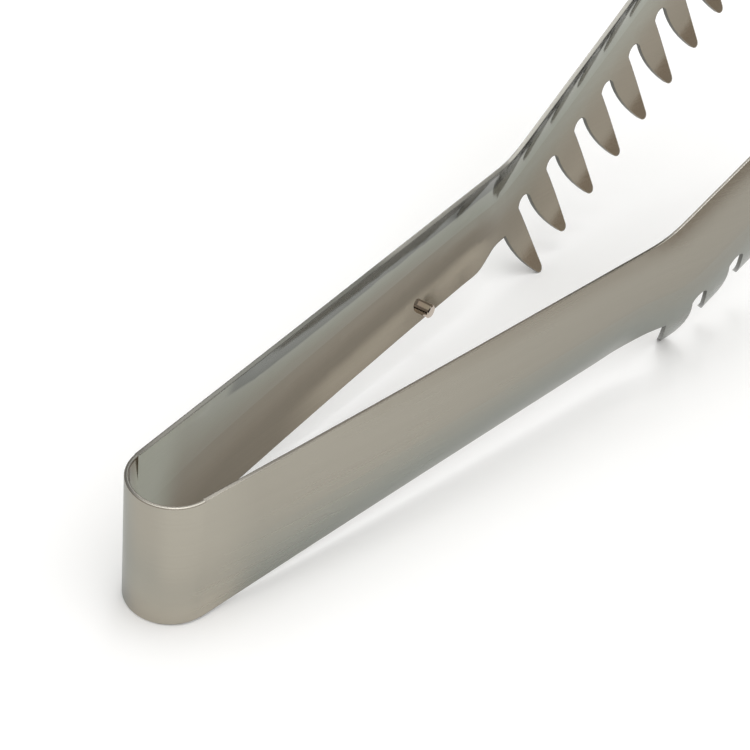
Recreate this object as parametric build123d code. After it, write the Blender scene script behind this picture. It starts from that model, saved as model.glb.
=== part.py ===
from build123d import *
import math
import os

# Serving tongs bent from one stainless strip.
# A spring bow at the back joins two guttered arms, and each arm ends in a cranked jaw
# whose lower edge is cut into a row of hooked teeth.
# Lengths are in millimetres and angles in degrees.

# Strip and spring bow
sheet_thickness = 0.8
bow_radius = 8.0
bow_width = 26.6

# Arms: edges straight in plan, flat at the bow and rolled into a gutter over a run from it
arm_length = 117.0
arm_splay = 6.45
crank_width = 22.1
gutter_half_angle = 24.5
gutter_run = 25.0

# Crank between arm and jaw: the sheet turns over a length either side of the corner,
# and the arm's gutter opens into the jaw's over a length that ends with the turn
crank_angle = 22.6
crank_blend = 4.5
crank_flare = 12.5

# Throat: where the lower edge of the arm turns up before the first tooth
throat_length = 15.0
throat_foot_drop = 0.6
throat_rise = 1.1
throat_crown_share = 0.7

# Jaws: cranked upwards in the plane of the strip, rolled tighter at the lip than at the teeth
jaw_toe_in = 0.9
jaw_lip_radius = 29.0
jaw_lip_angle = 26.5
jaw_tooth_radius = 41.0
nose_radius = 10.0

# Teeth along the lower edge of each jaw
tooth_count = 10
tooth_pitch = 11.07
tooth_root_depth = 21.35
first_root_setback = 5.3
tooth_drop = 11.0
tooth_reach = 7.6
tooth_tip_radius = 1.25
tooth_heel_turn = 130.0
tooth_toe_turn = 5.0
tooth_belly_reach_share = 0.39
tooth_belly_drop_share = 0.55
tooth_flank_bulge = 0.8
notch_width = 4.2
notch_foot_drop = 1.0
notch_height = 1.8
notch_crown_share = 0.38

# Stop pin on the inside of the far arm, on a thin film of braze
pin_diameter = 2.7
pin_length = 3.2
pin_place_along_arm = 86.7
pin_place_below_middle = 8.5
pin_end_chamfer = 0.2
pin_seat_gap = 0.12

# Forming: how far the cutting outline clears the rolled lip, how deep the blank is before
# the teeth are cut, and how its slices are spaced
lip_clearance = 1.0
blank_depth = 42.0
flat_end_half_angle = 0.2
section_spacing = 5.0


def gutter_angle_at(share):
    """Half angle of the gutter at a share of the straight arm, flat at the bow."""
    rolled = gutter_half_angle * (1 - math.exp(-share * straight_length / gutter_run))
    return max(flat_end_half_angle, rolled)


def strip_width_at(share):
    """Width of the strip, measured round the gutter."""
    return bow_width + (crank_width - bow_width) * share


def gutter_radius_at(share):
    return strip_width_at(share) / 2 / math.radians(gutter_angle_at(share))


def edge_height_at(share):
    """Height of the upper edge above the middle of the arm."""
    return gutter_radius_at(share) * math.sin(math.radians(gutter_angle_at(share)))


def edge_inset_at(share):
    """How far the edges of the gutter stand in from its back."""
    return gutter_radius_at(share) * (1 - math.cos(math.radians(gutter_angle_at(share))))


# Straight run of the arm, unit directions of the jaw in the side view, and its upper corner at the crank
straight_length = arm_length - crank_blend
jaw_along = Vector(math.cos(math.radians(crank_angle)), math.sin(math.radians(crank_angle)))
jaw_up = Vector(-jaw_along.Y, jaw_along.X)
crank_corner = Vector(arm_length, edge_height_at(1.0))
tooth_step = jaw_along * tooth_pitch
first_root = crank_corner - jaw_along * first_root_setback - jaw_up * tooth_root_depth
tip_offset = Vector(tooth_reach, tooth_tip_radius - tooth_drop)


def gutter_section(lip, tilt, lip_angle, upper_radius, lower_radius):
    """A slice of the rolled blank, made of two arcs that meet where the wall is upright.

    lip is the upper edge point, tilt leans the slice with the crank, lip_angle is where the
    upper edge lies on the upper arc, and the radii are those of the outside.
    """
    up = Vector(-math.sin(math.radians(tilt)), 0, math.cos(math.radians(tilt)))
    out = Vector(0, 1, 0)
    angle = math.radians(lip_angle)
    back = lip + out * (upper_radius * (1 - math.cos(angle))) - up * (upper_radius * math.sin(angle))
    bottom = upper_radius / lower_radius * angle - blank_depth / lower_radius

    def on_arc(radius, depth, at):
        centre = back - out * radius
        return centre + out * ((radius - depth) * math.cos(at)) + up * ((radius - depth) * math.sin(at))

    def arc(radius, depth, start, end):
        middle = (start + end) / 2
        return Edge.make_three_point_arc(
            on_arc(radius, depth, start), on_arc(radius, depth, middle), on_arc(radius, depth, end))

    def end_line(radius, at, start_depth, end_depth):
        return Edge.make_line(on_arc(radius, start_depth, at), on_arc(radius, end_depth, at))

    return Face(Wire([
        arc(upper_radius, 0, angle, 0),
        arc(lower_radius, 0, 0, bottom),
        end_line(lower_radius, bottom, 0, sheet_thickness),
        arc(lower_radius, sheet_thickness, bottom, 0),
        arc(upper_radius, sheet_thickness, 0, angle),
        end_line(upper_radius, angle, sheet_thickness, 0),
    ]))


def jaw_share_at(run):
    """How far the gutter has opened from the arm's to the jaw's at a run from the bow."""
    share = min(1.0, max(0.0, 1 - (arm_length + crank_blend - run) / crank_flare))
    return share * share * (3 - 2 * share)


def opening_section(lip, tilt, run, arm_share):
    """A slice of the arm or crank, between the arm's gutter and the jaw's."""
    share = jaw_share_at(run)
    arm_radius = gutter_radius_at(arm_share)
    arm_angle = gutter_angle_at(arm_share)
    return gutter_section(
        lip, tilt,
        arm_angle + (jaw_lip_angle - arm_angle) * share,
        arm_radius + (jaw_lip_radius - arm_radius) * share,
        arm_radius + (jaw_tooth_radius - arm_radius) * share)


def rolled_blank():
    """The arm and jaw as a rolled sheet before its lower edge is cut."""
    sections = []
    arm_steps = round(straight_length / section_spacing)
    for step in range(arm_steps + 1):
        share = step / arm_steps
        run = share * straight_length
        lip = Vector(run, -edge_inset_at(1.0) * share, edge_height_at(share))
        sections.append(opening_section(lip, 0, run, share))

    turn_radius = crank_blend / math.tan(math.radians(crank_angle) / 2)
    turn_centre = Vector(straight_length, -edge_inset_at(1.0), edge_height_at(1.0) + turn_radius)
    for share in (0.5, 1.0):
        turn = crank_angle * share
        lip = turn_centre + Vector(
            turn_radius * math.sin(math.radians(turn)), 0, -turn_radius * math.cos(math.radians(turn)))
        sections.append(opening_section(lip, turn, straight_length + 2 * crank_blend * share, 1.0))

    jaw_start = lip
    jaw_length = tooth_pitch * (tooth_count + 1)
    jaw_steps = round(jaw_length / section_spacing)
    for step in range(1, jaw_steps + 1):
        run = jaw_length * step / jaw_steps
        toe = run * math.tan(math.radians(jaw_toe_in))
        lip = jaw_start + Vector(run * jaw_along.X, -toe, run * jaw_along.Y)
        sections.append(gutter_section(lip, crank_angle, jaw_lip_angle, jaw_lip_radius, jaw_tooth_radius))
    return loft(sections)


def tooth_edges(root, start, is_last):
    """The lower edge of the jaw over one tooth, from its start near its root to the next root."""
    tip = root + tip_offset

    def on_tip(turn):
        return tip + Vector(tooth_tip_radius, 0).rotate(Axis.Z, -turn)

    heel = on_tip(tooth_heel_turn)
    toe = on_tip(tooth_toe_turn)
    point = on_tip((tooth_heel_turn + tooth_toe_turn) / 2)
    belly = root + Vector(tooth_reach * tooth_belly_reach_share, -tooth_drop * tooth_belly_drop_share)
    edges = [
        Edge.make_three_point_arc(start, belly, heel),
        Edge.make_three_point_arc(heel, point, toe),
    ]
    if is_last:
        return edges, toe
    next_root = root + tooth_step
    notch_foot = next_root - Vector(notch_width, notch_foot_drop)
    flank = (toe + notch_foot) * 0.5 + Vector(tooth_flank_bulge, 0)
    crown = notch_foot + Vector(notch_width * notch_crown_share, notch_height)
    edges.append(Edge.make_three_point_arc(toe, flank, notch_foot))
    edges.append(Edge.make_three_point_arc(notch_foot, crown, next_root))
    return edges, next_root


def side_outline():
    """Outline that the blank is cut to in the side view: lower edge, teeth and nose, clear of the lip."""
    lower_start = Vector(0, -edge_height_at(0))
    half_way = Vector(straight_length / 2, -edge_height_at(0.5))
    throat_foot = first_root - Vector(throat_length, throat_foot_drop)
    throat_crown = throat_foot + Vector(throat_length * throat_crown_share, throat_rise)
    edges = [
        Edge.make_three_point_arc(lower_start, half_way, throat_foot),
        Edge.make_spline(
            [throat_foot, throat_crown, first_root],
            tangents=[throat_foot - half_way, first_root - throat_crown]),
    ]
    point = first_root
    for number in range(tooth_count):
        root = first_root + tooth_step * number
        added, point = tooth_edges(root, point, number == tooth_count - 1)
        edges.extend(added)
    top_corner = crank_corner + Vector(0, lip_clearance)
    top_start = Vector(0, edge_height_at(0) + lip_clearance)
    nose_run = (point - top_corner).dot(jaw_along) + notch_width
    nose_corner = top_corner + jaw_along * nose_run
    to_toe = (point - nose_corner).normalized()
    bend = math.acos(-to_toe.dot(jaw_along))
    nose_trim = nose_radius / math.tan((math.pi - bend) / 2)
    nose_start = nose_corner + to_toe * nose_trim
    nose_end = nose_corner - jaw_along * nose_trim
    nose_centre_way = (to_toe - jaw_along).normalized()
    nose_mid = nose_corner + nose_centre_way * (nose_radius / math.cos(bend / 2) - nose_radius)
    edges.append(Edge.make_line(point, nose_start))
    edges.append(Edge.make_three_point_arc(nose_start, nose_mid, nose_end))
    edges.append(Edge.make_line(nose_end, top_corner))
    edges.append(Edge.make_line(top_corner, top_start))
    edges.append(Edge.make_line(top_start, lower_start))
    return Face(Wire(edges))


def arm_and_jaw(blank):
    """The rolled blank cut to its outline."""
    flat = Plane(origin=(0, 0, 0), x_dir=(1, 0, 0), z_dir=(0, -1, 0)) * side_outline()
    cutter = extrude(flat, amount=blank_depth, dir=(0, 1, 0), both=True)
    return (blank & cutter).solid()


def stop_pin(blank):
    """A stud standing on the inside of the gutter, cut to the curve it stands on."""
    share = pin_place_along_arm / straight_length
    radius = gutter_radius_at(share)
    back = edge_inset_at(share) - edge_inset_at(1.0) * share
    foot = back - radius + math.sqrt((radius - sheet_thickness) ** 2 - pin_place_below_middle ** 2)
    seat = Plane(
        origin=(pin_place_along_arm, foot, -pin_place_below_middle), x_dir=(1, 0, 0), z_dir=(0, -1, 0))
    stock = Cylinder(
        pin_diameter / 2, pin_length + pin_diameter, align=(Align.CENTER, Align.CENTER, Align.MIN))
    stock = chamfer(stock.faces().sort_by(Axis.Z)[-1].edges(), pin_end_chamfer)
    rod = seat * Pos(0, 0, -pin_diameter) * stock
    stud = (rod - blank).solids().sort_by(Axis.Y)[0]
    return Pos(0, -pin_seat_gap, 0) * stud


def spring_bow():
    """The half round strip between the two arms."""
    reach = 90 - arm_splay
    inner_radius = bow_radius - sheet_thickness

    def at(radius, angle):
        return Vector(-radius, 0).rotate(Axis.Z, angle)

    profile = Wire([
        Edge.make_three_point_arc(at(bow_radius, -reach), at(bow_radius, 0), at(bow_radius, reach)),
        Edge.make_line(at(bow_radius, reach), at(inner_radius, reach)),
        Edge.make_three_point_arc(at(inner_radius, reach), at(inner_radius, 0), at(inner_radius, -reach)),
        Edge.make_line(at(inner_radius, -reach), at(bow_radius, -reach)),
    ])
    return extrude(Face(profile), amount=bow_width / 2, both=True).solid()


def rest_lean():
    """Lean of the tongs as they lie, on the back of the bow and on the first tooth of each jaw."""
    splay = math.radians(arm_splay)
    tip = first_root + tip_offset
    tip_run = tip.X * math.cos(splay) + bow_radius * (1 - math.sin(splay))
    tip_rise = tip.Y + bow_width / 2
    distance = math.hypot(tip_run, tip_rise)
    return math.degrees(math.atan2(tip_rise, tip_run) - math.asin(tooth_tip_radius / distance))


def build():
    blank = rolled_blank()
    bow_end = Vector(0, bow_radius).rotate(Axis.Z, arm_splay)
    place = Pos(bow_end.X, bow_end.Y) * Rot(0, 0, arm_splay)
    far_arm = place * arm_and_jaw(blank)
    solids = {
        "spring_bow": spring_bow(),
        "far_arm": far_arm,
        "near_arm": far_arm.mirror(Plane.XZ),
        "stop_pin": place * stop_pin(blank),
    }
    lying = {name: Rot(0, rest_lean(), 0) * solid for name, solid in solids.items()}
    boxes = [edge.bounding_box() for solid in lying.values() for edge in solid.edges()]
    back = min(box.min.X for box in boxes)
    front = max(box.max.X for box in boxes)
    floor = min(box.min.Z for box in boxes)
    to_origin = Pos(-(back + front) / 2, 0, -floor)
    return {name: to_origin * solid for name, solid in lying.items()}


os.makedirs("parts", exist_ok=True)
for node, solid in build().items():
    export_step(solid, f"parts/{node}.step")
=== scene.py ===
import math

import bpy
from mathutils import Matrix, Quaternion, Vector


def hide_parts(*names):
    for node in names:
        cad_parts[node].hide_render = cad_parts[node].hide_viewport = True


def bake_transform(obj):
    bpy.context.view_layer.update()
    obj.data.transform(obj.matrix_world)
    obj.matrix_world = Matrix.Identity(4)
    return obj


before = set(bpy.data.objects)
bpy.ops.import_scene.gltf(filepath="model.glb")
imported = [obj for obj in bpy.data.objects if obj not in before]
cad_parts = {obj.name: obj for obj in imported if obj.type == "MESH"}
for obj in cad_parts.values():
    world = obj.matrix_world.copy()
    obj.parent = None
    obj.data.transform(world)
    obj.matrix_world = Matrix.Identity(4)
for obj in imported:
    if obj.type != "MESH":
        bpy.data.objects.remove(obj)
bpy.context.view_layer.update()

# Sizes of the spring bow and its place in the frame, in metres and degrees
sheet_thickness = 0.0008
bow_radius = 0.008
bow_width = 0.0266
bow_reach = 90 - 6.45
bow_centre = Vector((-0.104616, 0, 0.013791))
rest_lean = math.radians(-3.7203)
rim_round = 0.0003
rim_segments = 3
bow_proud = 0.00003
bow_steps = 96
merge_distance = 1e-7
smooth_angle = math.radians(50)

# Camera: place, viewing direction, roll, and focal length and sensor in millimetres
camera_place = Vector((-0.320664, -0.182007, 0.264156))
camera_view = Vector((0.660764, 0.449428, -0.601170))
camera_roll = math.radians(9.032)
camera_lens = 109.211
camera_sensor = 36
camera_near = 0.01

# Painted reflections in the steel's colour. They stand in for the room that the steel mirrors.
# Outside: level, turned down, turned up, a painted reflection low down around the bow, a painted highlight
# in front and painted shade at the far back
outside_warm = (0.353, 0.331, 0.281)
outside_cool = (0.323, 0.334, 0.299)
outside_up = (0.315, 0.290, 0.242)
outside_low = (0.475, 0.440, 0.370)
outside_painted_highlight = (0.395, 0.371, 0.315)
outside_back_shade = (0.300, 0.305, 0.278)

# Painted shade on the cut edges, and painted highlights and shade on the rims on top of the bow, the arms
# and the jaws
cut_edge_shade = (0.170, 0.170, 0.155)
bow_rim = (0.425, 0.401, 0.354)
back_rim = (0.215, 0.208, 0.187)
far_rim = (0.200, 0.200, 0.180)
near_rim = (0.350, 0.330, 0.290)
far_jaw_rim = (0.400, 0.390, 0.355)
near_jaw_rim = (0.950, 0.920, 0.860)

# Painted reflections inside: turned up, turned down, lighter in the bow, a painted dark reflection under the
# rim, and the teeth, a dark stripe and a lighter low band
inside_warm = (0.290, 0.258, 0.206)
inside_cool = (0.348, 0.359, 0.305)
inside_bow = (0.460, 0.471, 0.404)
inside_lip = (0.165, 0.173, 0.151)
inside_tooth = (0.320, 0.286, 0.230)
inside_stripe = (0.250, 0.221, 0.176)
inside_low = (0.375, 0.334, 0.267)
black = (0, 0, 0)

# Stud, floor and room
stud_dark = (0.52, 0.44, 0.37)
stud_light = (0.60, 0.52, 0.45)
floor_dark = (0.91, 0.91, 0.91)
floor_light = (0.93, 0.93, 0.93)
room_horizon = (0.62, 0.54, 0.47)
room_above = (0.60, 0.60, 0.59)

# Tilts of a face between which one painted reflection, shade or finish gives way to the next: 1 is turned
# straight up, -1 straight down
cool_tilt = (-0.25, 0.10)
up_tilt = (0.24, 0.40)
lip_tilt = (-0.26, -0.22)
arm_lip_tilt = (-0.200, -0.178)
stripe_tilt = (0.06, 0.17)
low_band_tilt = (0.21, 0.29)
low_fade_tilt = (0.31, 0.40)
tooth_tilt = (0.30, 0.50)
tooth_finish_tilt = (0.25, 0.45)
rim_tilt = (0.3, 0.7)
rim_edge_tilt = (0.62, 0.75)

# Shares of facing outwards between which the inside ends and the cut edges end
inside_facing = (-0.5, -0.3)
edge_facing = (0.3, 0.5)

# How strongly the painted reflections shift along the strip, how far painted shade darkens it towards the
# jaws, and what is left of the painted low band where it fades
jaw_painted_shade = 0.16
jaw_painted_shade_inside = 0.12
jaw_cooling = 0.15
bow_cooling = 0.25
low_fade = 0.5

# Brushing, patches, turning marks and grain: how they stretch, how fine they are and what they change
brush_stretch = (14, 14, 2600)
patch_stretch = (30, 30, 60)
turning_stretch = (400, 9000, 400)
grain_stretch = (40, 40, 40)
brush_detail = 3
fine_detail = 2
noise_middle = (0.3, 0.7)
brush_darkness = 0.032
brush_unevenness = 0.013
patch_unevenness = 0.01

# Roughness and gloss
outside_roughness = 0.26
inside_roughness = 0.10
tooth_roughness = 0.09
stud_roughness = (0.10, 0.16)
brush_gloss = 0.4
glancing_tint = (0.82, 0.82, 0.82, 1)
edge_samples = 6

# Floor: how far it is lifted to white near the tongs and further off, and where that changes
floor_size = 6
floor_roughness = 0.9
floor_gloss = 0.1
floor_lift = 0.10
far_floor_lift = 0.45
floor_lift_run = (0.5, 1.6)

# Height over which the room's light turns from the tint at the horizon to the one above
horizon_run = (0.0, 0.5)

# Turning the strip upright, and the direction across it from the lower edge to the upper one
upright = Matrix.Rotation(-rest_lean, 3, "Y")
leaned = Matrix.Rotation(rest_lean, 3, "Y")
strip_up = leaned @ Vector((0, 0, 1))

# Where the bow ends along the upright strip, and the height of its lower edge
bow_end = (upright @ bow_centre).x
lower_edge = (upright @ bow_centre).z - bow_width / 2

# Stretches along the strip over which a painted reflection, highlight or shade comes or goes
bow_back_run = (bow_end - 0.008, bow_end - 0.006)
bow_run = (bow_end, bow_end + 0.012)
bow_cooling_run = (bow_end, bow_end + 0.014)
inside_bow_run = (bow_end, bow_end + 0.030)
arm_rim_run = (bow_end + 0.004, bow_end + 0.030)
painted_shade_run = (bow_end, bow_end + 0.16)
arm_lip_run = (-0.081, -0.077)
low_band_run = (-0.066, -0.046)
far_jaw_rim_run = (-0.038, -0.026)
jaw_cooling_run = (-0.030, 0.015)
arm_end_run = (0.004, 0.016)

# The same up from the lower edge, and from the near side to the far side
table_run = (lower_edge, lower_edge + 0.013)
far_back_run = (-0.001, 0.006)
back_rim_run = (-0.003, 0.004)


def add_node(tree, kind, **settings):
    node = tree.nodes.new(kind)
    for name, value in settings.items():
        setattr(node, name, value)
    return node


def join(tree, source, target):
    tree.links.new(source, target)


def new_material(name):
    """A new material, its nodes and its shader."""
    material = bpy.data.materials.new(name)
    material.use_nodes = True
    tree = material.node_tree
    return material, tree, tree.nodes["Principled BSDF"]


def give_material(piece, material):
    piece.data.materials.clear()
    piece.data.materials.append(material)


def mixed_colour(tree, factor, first, second):
    """A colour between two, each a socket or red, green and blue."""
    mix = add_node(tree, "ShaderNodeMix", data_type="RGBA", blend_type="MIX")
    join(tree, factor, mix.inputs["Factor"])
    for name, colour in (("A", first), ("B", second)):
        socket = next(s for s in mix.inputs if s.name == name and s.type == "RGBA")
        if isinstance(colour, tuple):
            socket.default_value = (*colour, 1)
        else:
            join(tree, colour, socket)
    return next(s for s in mix.outputs if s.type == "RGBA")


def math_node(tree, operation, first, second):
    """An operation on two values, each a socket or a number."""
    node = add_node(tree, "ShaderNodeMath", operation=operation)
    for socket, value in zip(node.inputs, (first, second)):
        if isinstance(value, (int, float)):
            socket.default_value = value
        else:
            join(tree, value, socket)
    return node.outputs["Value"]


def product(tree, first, second):
    return math_node(tree, "MULTIPLY", first, second)


def ramp(tree, value, limits, out_low, out_high):
    """A smooth change from one number to another, while a value goes from its low to its high limit."""
    node = add_node(tree, "ShaderNodeMapRange", interpolation_type="SMOOTHSTEP")
    join(tree, value, node.inputs["Value"])
    node.inputs["From Min"].default_value = limits[0]
    node.inputs["From Max"].default_value = limits[1]
    node.inputs["To Min"].default_value = out_low
    node.inputs["To Max"].default_value = out_high
    return node.outputs["Result"]


def rising(tree, value, limits):
    return ramp(tree, value, limits, 0, 1)


def falling(tree, value, limits):
    return ramp(tree, value, limits, 1, 0)


def strip_coordinates(tree, scale):
    """Object coordinates turned so that Z runs across the strip, then stretched."""
    coordinates = add_node(tree, "ShaderNodeTexCoord")
    mapping = add_node(tree, "ShaderNodeMapping", vector_type="POINT")
    mapping.inputs["Rotation"].default_value = (0, -rest_lean, 0)
    mapping.inputs["Scale"].default_value = scale
    join(tree, coordinates.outputs["Object"], mapping.inputs["Vector"])
    return mapping.outputs["Vector"]


def noise(tree, stretch, detail):
    node = add_node(tree, "ShaderNodeTexNoise")
    node.inputs["Scale"].default_value = 1.0
    node.inputs["Detail"].default_value = detail
    join(tree, strip_coordinates(tree, stretch), node.inputs["Vector"])
    return node.outputs["Fac"]


def strip_place(tree):
    """Place along the strip, to its side and across it, from the frame's origin."""
    place = add_node(tree, "ShaderNodeSeparateXYZ")
    join(tree, strip_coordinates(tree, (1, 1, 1)), place.inputs["Vector"])
    return place.outputs["X"], place.outputs["Y"], place.outputs["Z"]


def face_tilt(tree):
    """How far a face is turned up (above 0) or down (below 0)."""
    coordinates = add_node(tree, "ShaderNodeTexCoord")
    facing = add_node(tree, "ShaderNodeVectorMath", operation="DOT_PRODUCT")
    facing.inputs[1].default_value = strip_up
    join(tree, coordinates.outputs["Normal"], facing.inputs[0])
    return facing.outputs["Value"]


def outward_share(tree):
    """1 on the outside of the bow and arms, -1 on the inside, about 0 on the cut edges."""
    coordinates = add_node(tree, "ShaderNodeTexCoord")
    place = add_node(tree, "ShaderNodeSeparateXYZ")
    join(tree, coordinates.outputs["Object"], place.inputs["Vector"])
    past_centre = math_node(tree, "SUBTRACT", place.outputs["X"], bow_centre.x)
    outward = add_node(tree, "ShaderNodeCombineXYZ")
    join(tree, math_node(tree, "MINIMUM", past_centre, 0.0), outward.inputs["X"])
    join(tree, place.outputs["Y"], outward.inputs["Y"])
    unit = add_node(tree, "ShaderNodeVectorMath", operation="NORMALIZE")
    join(tree, outward.outputs["Vector"], unit.inputs[0])
    facing = add_node(tree, "ShaderNodeVectorMath", operation="DOT_PRODUCT")
    join(tree, unit.outputs["Vector"], facing.inputs[0])
    join(tree, coordinates.outputs["Normal"], facing.inputs[1])
    return facing.outputs["Value"]


def brush_tangent(tree):
    """Direction of the brushing: along the strip at every point of it."""
    geometry = add_node(tree, "ShaderNodeNewGeometry")
    cross = add_node(tree, "ShaderNodeVectorMath", operation="CROSS_PRODUCT")
    cross.inputs[0].default_value = strip_up
    join(tree, geometry.outputs["Normal"], cross.inputs[1])
    return cross.outputs["Vector"]


def rounded_edges(tree):
    """Normals that round the cut edges, except where the arm's end meets the bow."""
    along, aside, _ = strip_place(tree)
    splay = math.radians(90 - bow_reach)
    past_bow = math_node(tree, "SUBTRACT", along, bow_end)
    off_centre = math_node(tree, "ABSOLUTE", aside, 0.0)
    from_end = math_node(
        tree, "ADD",
        product(tree, past_bow, math.cos(splay)),
        product(tree, off_centre, math.sin(splay)))
    radius = math_node(tree, "MINIMUM", math_node(tree, "MAXIMUM", from_end, 0.0), rim_round)
    bevel = add_node(tree, "ShaderNodeBevel", samples=edge_samples)
    join(tree, radius, bevel.inputs["Radius"])
    return bevel.outputs["Normal"]


def outer_colour(tree, tilt, along, aside, height):
    """Painted reflections on the outside of the strip: cooler where it is turned down, darker where it is
    turned up, with painted light and shade of its own around the bow.
    """
    colour = mixed_colour(tree, falling(tree, tilt, cool_tilt), outside_warm, outside_cool)
    colour = mixed_colour(tree, rising(tree, tilt, up_tilt), colour, outside_up)
    # Painted reflection: the bow's outside is lighter low down, near the floor.
    near_bow = falling(tree, along, bow_run)
    near_table = falling(tree, height, table_run)
    colour = mixed_colour(tree, product(tree, near_bow, near_table), colour, outside_low)
    # Painted highlight: a lighter band on the bow's front, above its low part.
    bow_front = product(tree, rising(tree, along, bow_back_run), near_bow)
    above_table = math_node(tree, "SUBTRACT", 1.0, near_table)
    colour = mixed_colour(tree, product(tree, bow_front, above_table), colour, outside_painted_highlight)
    # Painted shade: the bow's outside is darker at the far back.
    far_back = product(tree, near_bow, rising(tree, aside, far_back_run))
    return mixed_colour(tree, far_back, colour, outside_back_shade)


def inner_colour(tree, tilt, along):
    """Painted reflections inside the strip: a painted dark reflection under the lip, a cool zone that is
    lighter in the bow, a warm one, the teeth, a dark stripe and a lighter low band.
    """
    jaw_shift = ramp(tree, along, jaw_cooling_run, 0, jaw_cooling)
    bow_shift = ramp(tree, along, bow_cooling_run, bow_cooling, 0)
    shifted_tilt = math_node(tree, "SUBTRACT", tilt, math_node(tree, "ADD", jaw_shift, bow_shift))
    cool = mixed_colour(tree, falling(tree, along, inside_bow_run), inside_cool, inside_bow)
    colour = mixed_colour(tree, falling(tree, shifted_tilt, cool_tilt), inside_warm, cool)
    arm_lip = product(tree, falling(tree, tilt, arm_lip_tilt), rising(tree, along, arm_lip_run))
    lip = math_node(tree, "MAXIMUM", arm_lip, falling(tree, tilt, lip_tilt))
    colour = mixed_colour(tree, lip, colour, inside_lip)
    colour = mixed_colour(tree, rising(tree, tilt, tooth_tilt), colour, inside_tooth)
    on_arm = falling(tree, along, arm_end_run)
    stripe = product(tree, rising(tree, tilt, stripe_tilt), on_arm)
    colour = mixed_colour(tree, stripe, colour, inside_stripe)
    band_place = product(tree, rising(tree, along, low_band_run), on_arm)
    low_band = product(tree, rising(tree, tilt, low_band_tilt), ramp(tree, tilt, low_fade_tilt, 1, low_fade))
    return mixed_colour(tree, product(tree, low_band, band_place), colour, inside_low)


def edge_colour(tree, tilt, along, aside, rim, jaw_rim, jaw_rim_run):
    """Cut edges of the sheet: painted shade below and between the teeth, with the painted highlight or shade
    of the rim on top.
    """
    rear_rim = mixed_colour(tree, rising(tree, aside, back_rim_run), bow_rim, back_rim)
    arm_rim = mixed_colour(tree, rising(tree, along, jaw_rim_run), rim, jaw_rim)
    top_rim = mixed_colour(tree, rising(tree, along, arm_rim_run), rear_rim, arm_rim)
    return mixed_colour(tree, rising(tree, tilt, rim_tilt), cut_edge_shade, top_rim)


def edge_share(tree, tilt, outward):
    """1 on the cut edges and 0 on the faces of the sheet."""
    facing = math_node(tree, "ABSOLUTE", outward, 0.0)
    return math_node(
        tree, "MAXIMUM", falling(tree, facing, edge_facing), rising(tree, tilt, rim_edge_tilt))


def satin_steel(name, rim, jaw_rim, jaw_rim_run, edges_rounded):
    """Stainless strip: brushed along its length outside, smoother inside, with its own cut edges, and
    painted reflections, highlights and shade in its colour.
    """
    material, tree, shader = new_material(name)
    brushing = noise(tree, brush_stretch, brush_detail)
    patches = noise(tree, patch_stretch, fine_detail)
    tilt = face_tilt(tree)
    along, aside, height = strip_place(tree)
    outward = outward_share(tree)
    inside = falling(tree, outward, inside_facing)

    outer = outer_colour(tree, tilt, along, aside, height)
    colour = mixed_colour(tree, inside, outer, inner_colour(tree, tilt, along))
    edge = edge_colour(tree, tilt, along, aside, rim, jaw_rim, jaw_rim_run)
    colour = mixed_colour(tree, edge_share(tree, tilt, outward), colour, edge)
    # Painted shade: the steel darkens along the strip towards the jaws.
    painted_shade = ramp(tree, inside, (0, 1), jaw_painted_shade, jaw_painted_shade_inside)
    painted_shade = product(tree, painted_shade, rising(tree, along, painted_shade_run))
    dark_lines = ramp(tree, brushing, noise_middle, brush_darkness, 0)
    colour = mixed_colour(tree, math_node(tree, "ADD", painted_shade, dark_lines), colour, black)
    join(tree, colour, shader.inputs["Base Color"])

    finish = ramp(tree, inside, (0, 1), outside_roughness, inside_roughness)
    teeth = product(tree, inside, ramp(tree, tilt, tooth_finish_tilt, 0, tooth_roughness))
    streaks = ramp(tree, brushing, noise_middle, -brush_unevenness, brush_unevenness)
    drift = ramp(tree, patches, noise_middle, -patch_unevenness, patch_unevenness)
    roughness = math_node(
        tree, "ADD", math_node(tree, "ADD", finish, teeth), math_node(tree, "ADD", streaks, drift))
    join(tree, roughness, shader.inputs["Roughness"])

    join(tree, brush_tangent(tree), shader.inputs["Tangent"])
    if edges_rounded:
        join(tree, rounded_edges(tree), shader.inputs["Normal"])
    shader.inputs["Anisotropic"].default_value = brush_gloss
    shader.inputs["Specular Tint"].default_value = glancing_tint
    shader.inputs["Metallic"].default_value = 1.0
    return material


def polished_steel():
    """The stud, turned and polished."""
    material, tree, shader = new_material("polished_steel")
    turning = noise(tree, turning_stretch, fine_detail)
    join(tree, mixed_colour(tree, turning, stud_dark, stud_light), shader.inputs["Base Color"])
    join(tree, ramp(tree, turning, noise_middle, *stud_roughness), shader.inputs["Roughness"])
    shader.inputs["Metallic"].default_value = 1.0
    return material


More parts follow.
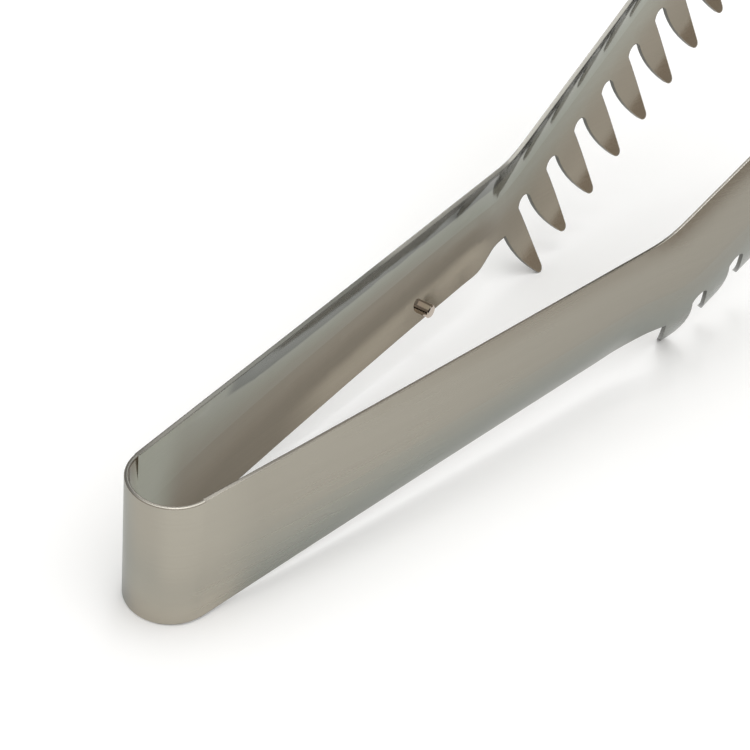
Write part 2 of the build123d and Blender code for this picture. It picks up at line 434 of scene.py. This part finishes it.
def half_bow(name, side):
    """Half of the spring bow, from the middle of its back to the arm on one side."""
    bpy.ops.object.select_all(action="DESELECT")
    bpy.ops.mesh.primitive_plane_add(size=1)
    piece = bpy.context.object
    piece.name = name
    bpy.ops.object.mode_set(mode="EDIT")
    bpy.ops.mesh.select_all(action="SELECT")
    bpy.ops.transform.resize(value=(sheet_thickness + bow_proud, bow_width, 1))
    bpy.ops.mesh.bevel(affect="VERTICES", offset=rim_round, segments=rim_segments)
    bpy.ops.mesh.select_all(action="SELECT")
    bpy.ops.transform.rotate(
        value=-math.pi / 2, orient_axis="X", orient_type="GLOBAL", center_override=(0, 0, 0))
    bpy.ops.transform.translate(value=(-bow_radius + (sheet_thickness - bow_proud) / 2, 0, 0))
    bpy.ops.mesh.delete(type="ONLY_FACE")
    bpy.ops.mesh.select_all(action="SELECT")
    bpy.ops.mesh.spin(
        steps=bow_steps, angle=math.radians(side * bow_reach), center=(0, 0, 0), axis=(0, 0, 1))
    bpy.ops.mesh.select_all(action="SELECT")
    bpy.ops.mesh.remove_doubles(threshold=merge_distance)
    bpy.ops.mesh.fill_holes(sides=0)
    bpy.ops.mesh.select_all(action="SELECT")
    bpy.ops.mesh.normals_make_consistent(inside=False)
    bpy.ops.object.mode_set(mode="OBJECT")
    piece.rotation_euler = (0, rest_lean, 0)
    piece.location = bow_centre
    bpy.ops.object.transform_apply(location=True, rotation=True, scale=True)
    bpy.ops.object.shade_smooth_by_angle(angle=smooth_angle)
    return piece


def add_floor():
    """White floor that keeps the shadow: lit as a pale surface and lifted to white where it is seen."""
    bpy.ops.object.select_all(action="DESELECT")
    bpy.ops.mesh.primitive_plane_add(size=floor_size)
    floor = bpy.context.object
    floor.name = "floor"
    material, tree, shader = new_material("pale_floor")
    grain = noise(tree, grain_stretch, fine_detail)
    join(tree, mixed_colour(tree, grain, floor_dark, floor_light), shader.inputs["Base Color"])
    shader.inputs["Roughness"].default_value = floor_roughness
    shader.inputs["Specular IOR Level"].default_value = floor_gloss
    shader.inputs["Emission Color"].default_value = (1, 1, 1, 1)
    rays = add_node(tree, "ShaderNodeLightPath")
    seen = math_node(tree, "MAXIMUM", rays.outputs["Is Camera Ray"], rays.outputs["Is Glossy Ray"])
    seen = math_node(tree, "MAXIMUM", seen, rays.outputs["Is Transmission Ray"])
    coordinates = add_node(tree, "ShaderNodeTexCoord")
    distance = add_node(tree, "ShaderNodeVectorMath", operation="LENGTH")
    join(tree, coordinates.outputs["Object"], distance.inputs[0])
    lift = ramp(tree, distance.outputs["Value"], floor_lift_run, floor_lift, floor_lift + far_floor_lift)
    join(tree, product(tree, seen, lift), shader.inputs["Emission Strength"])
    give_material(floor, material)


def add_softbox(name, place, width, power):
    """A square lamp that is aimed at the frame's origin."""
    light = bpy.data.lights.new(name, "AREA")
    light.shape = "RECTANGLE"
    light.size = width
    light.size_y = width
    light.energy = power
    holder = bpy.data.objects.new(name, light)
    bpy.context.scene.collection.objects.link(holder)
    holder.location = place
    holder.rotation_euler = (-Vector(place)).to_track_quat("-Z", "Y").to_euler()


def add_room():
    """Even studio light, a little warmer towards the horizon."""
    world = bpy.data.worlds.new("studio")
    bpy.context.scene.world = world
    world.use_nodes = True
    tree = world.node_tree
    background = tree.nodes["Background"]
    coordinates = add_node(tree, "ShaderNodeTexCoord")
    parts = add_node(tree, "ShaderNodeSeparateXYZ")
    join(tree, coordinates.outputs["Generated"], parts.inputs["Vector"])
    height = rising(tree, parts.outputs["Z"], horizon_run)
    join(tree, mixed_colour(tree, height, room_horizon, room_above), background.inputs["Color"])
    background.inputs["Strength"].default_value = 1.0


def add_camera():
    lens = bpy.data.cameras.new("camera")
    lens.lens = camera_lens
    lens.sensor_width = camera_sensor
    lens.clip_start = camera_near
    holder = bpy.data.objects.new("camera", lens)
    bpy.context.scene.collection.objects.link(holder)
    holder.location = camera_place
    turn = camera_view.to_track_quat("-Z", "Y") @ Quaternion((0, 0, 1), camera_roll)
    holder.rotation_mode = "QUATERNION"
    holder.rotation_quaternion = turn
    bpy.context.scene.camera = holder


bow_steel = satin_steel("bow_steel", bow_rim, bow_rim, arm_end_run, edges_rounded=False)
far_steel = satin_steel("far_arm_steel", far_rim, far_jaw_rim, far_jaw_rim_run, edges_rounded=True)
near_steel = satin_steel("near_arm_steel", near_rim, near_jaw_rim, arm_end_run, edges_rounded=True)
give_material(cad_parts["spring_bow"], bow_steel)
give_material(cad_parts["far_arm"], far_steel)
give_material(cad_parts["near_arm"], near_steel)
give_material(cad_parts["stop_pin"], polished_steel())

# The stud makes no mirror image in the arms
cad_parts["stop_pin"].visible_glossy = False

for name, side, body in (("bow_far_half", 1, "far_side"), ("bow_near_half", -1, "near_side")):
    piece = half_bow(name, side)
    give_material(piece, bow_steel)
    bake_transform(piece)
    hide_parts("spring_bow")

add_floor()
add_room()
add_softbox("top", place=(-0.03, -0.20, 1.0), width=1.6, power=7.6)
add_softbox("rim", place=(0.0, 0.05, 1.0), width=0.3, power=0.9)
add_softbox("back", place=(0.9, 0.6, 0.85), width=0.4, power=1.0)
add_camera()
bpy.context.scene.view_settings.view_transform = "Standard"
